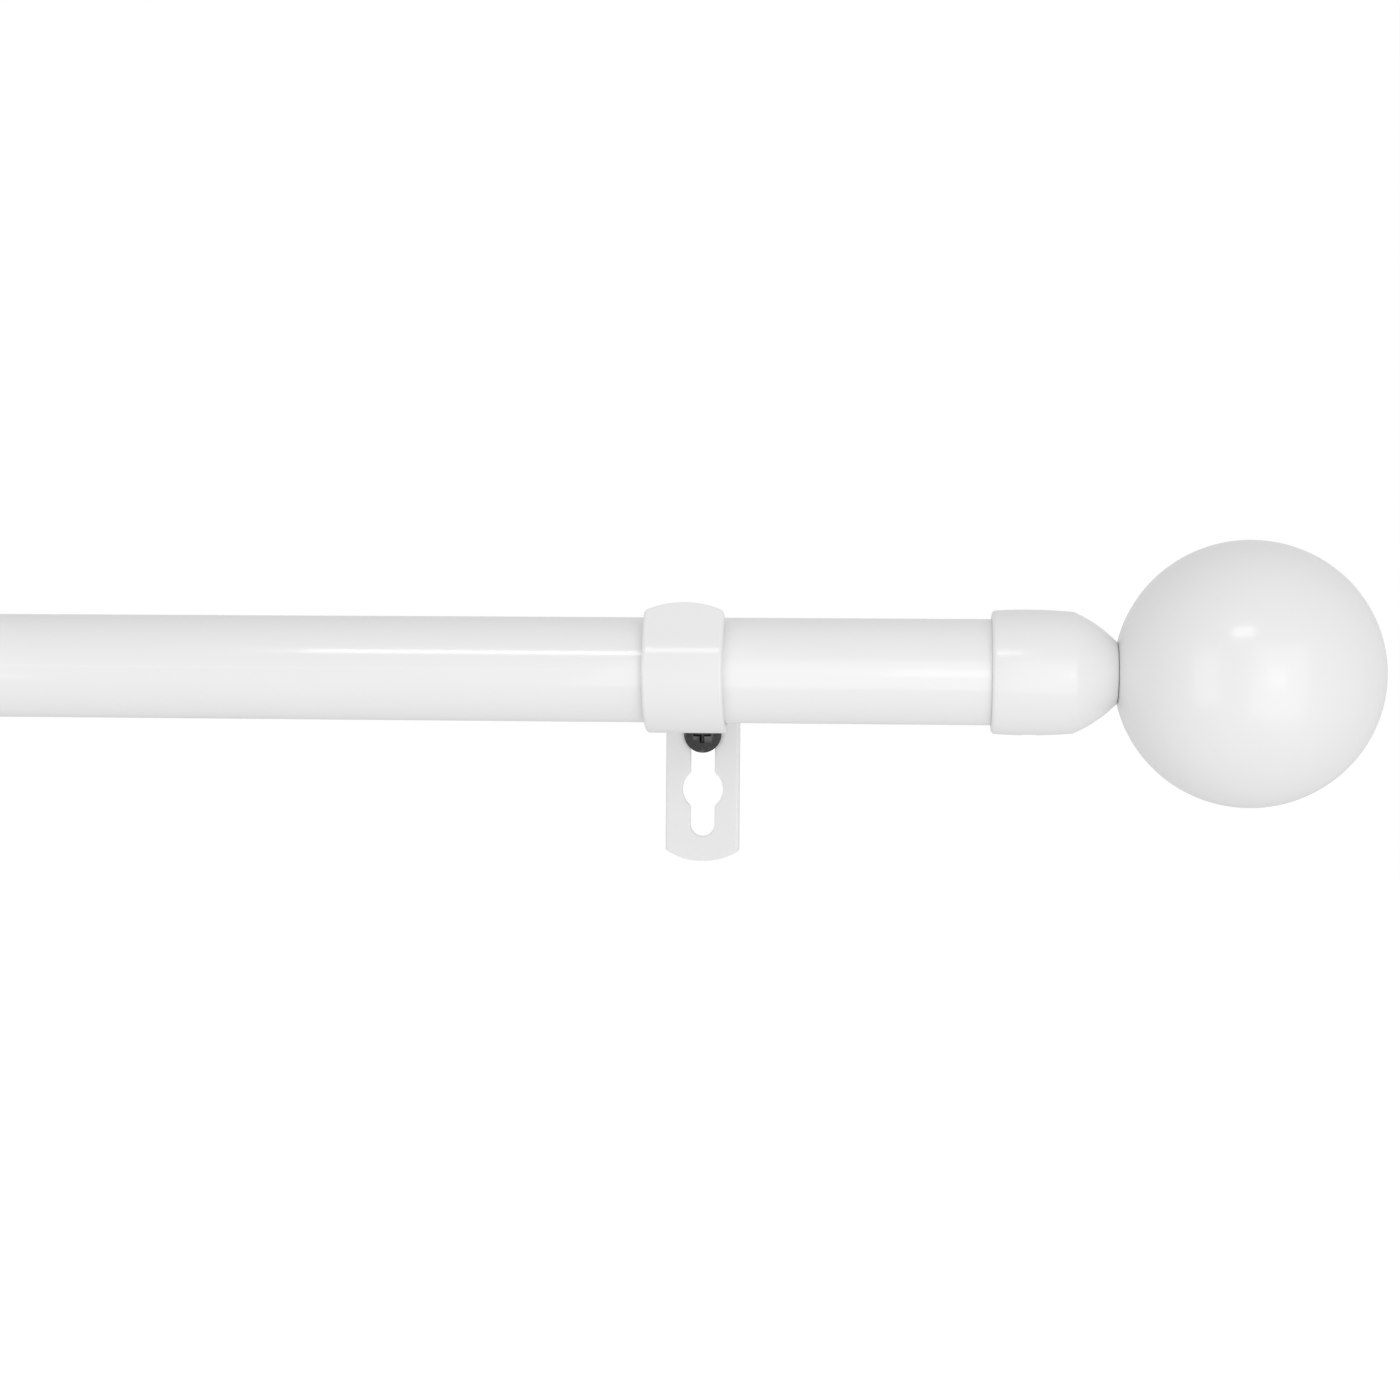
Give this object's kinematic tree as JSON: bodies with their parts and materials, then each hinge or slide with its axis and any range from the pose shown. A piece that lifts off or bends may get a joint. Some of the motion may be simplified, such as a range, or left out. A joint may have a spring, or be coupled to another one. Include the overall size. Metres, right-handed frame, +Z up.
{
  "type": "curtain rod with brackets",
  "caption": "White telescoping curtain rod with a hollow ball finial at each end, resting in bent-strip wall brackets that hang on keyhole slots.",
  "frame": {"origin": "on the wall plane, on the axis of the wall screw that the right bracket hangs on", "axes": "+Z up, +X along the rod towards the right finial, +Y into the wall"},
  "size_m": [0.8616, 0.1087, 0.0808],
  "materials": {
    "white_tube": "gloss",
    "white_strip": "satin",
    "white_finial": "gloss",
    "white_plastic": "satin",
    "screw_steel": "satin",
    "zinc_steel": "satin"
  },
  "bodies": {
    "right_wall_screw": {"right_wall_screw": "screw_steel"},
    "right_bracket": {"right_bracket": "white_strip"},
    "outer_rod": {"outer_tube": "white_tube", "outer_tube_collar": "white_plastic"},
    "inner_rod": {"inner_tube": "white_tube", "inner_tube_glide": "white_plastic", "left_reducer_sleeve": "white_plastic"},
    "right_cap": {"right_finial_cap": "white_finial", "right_finial_screw": "zinc_steel"},
    "left_cap": {"left_finial_cap": "white_finial", "left_finial_screw": "zinc_steel"},
    "right_ball": {"right_ball": "white_finial", "right_ball_nut": "zinc_steel"},
    "left_ball": {"left_ball": "white_finial", "left_ball_nut": "zinc_steel"},
    "right_set_screw": {"right_set_screw": "screw_steel"},
    "left_set_screw": {"left_set_screw": "screw_steel"},
    "left_wall_screw": {"left_wall_screw": "screw_steel"},
    "left_bracket": {"left_bracket": "white_strip"}
  },
  "joints": [
    {"name": "right_bracket_lift", "type": "slide", "parent": "right_wall_screw", "child": "right_bracket", "axis": [0, 0, 1], "range_m": [0, 0.0144]},
    {"name": "left_bracket_lift", "type": "slide", "parent": "left_wall_screw", "child": "left_bracket", "axis": [0, 0, 1], "range_m": [0, 0.0144]},
    {"name": "rod_lift_out", "type": "slide", "parent": "right_bracket", "child": "outer_rod", "axis": [0, 0.4695, 0.8829], "range_m": [0, 0.03]},
    {"name": "rod_extension", "type": "slide", "parent": "outer_rod", "child": "inner_rod", "axis": [-1, 0, 0], "range_m": [0, 0.508]},
    {"name": "left_bracket_spacing", "type": "slide", "parent": "right_wall_screw", "child": "left_wall_screw", "axis": [-1, 0, 0], "range_m": [0, 0.508]},
    {"name": "right_finial_pull_off", "type": "slide", "parent": "outer_rod", "child": "right_cap", "axis": [1, 0, 0], "range_m": [0, 0.02]},
    {"name": "left_finial_pull_off", "type": "slide", "parent": "inner_rod", "child": "left_cap", "axis": [-1, 0, 0], "range_m": [0, 0.02]},
    {"name": "right_ball_unscrew", "type": "hinge", "parent": "right_cap", "child": "right_ball", "pos_m": [0.1, -0.049, 0.016], "axis": [1, 0, 0], "range_deg": [0, 2160]},
    {"name": "left_ball_unscrew", "type": "hinge", "parent": "left_cap", "child": "left_ball", "pos_m": [-0.631, -0.049, 0.016], "axis": [-1, 0, 0], "range_deg": [0, 2160]},
    {"name": "right_set_screw_turn", "type": "hinge", "parent": "right_cap", "child": "right_set_screw", "pos_m": [0.0819, -0.049, 0.002], "axis": [0, 0, -1], "range_deg": [0, 720]},
    {"name": "left_set_screw_turn", "type": "hinge", "parent": "left_cap", "child": "left_set_screw", "pos_m": [-0.6129, -0.049, 0.002], "axis": [0, 0, -1], "range_deg": [0, 720]}
  ],
  "couplings": [
    {"joint": "left_bracket_spacing", "follows": "rod_extension", "ratio": 1},
    {"joint": "left_bracket_lift", "follows": "right_bracket_lift", "ratio": 1}
  ]
}
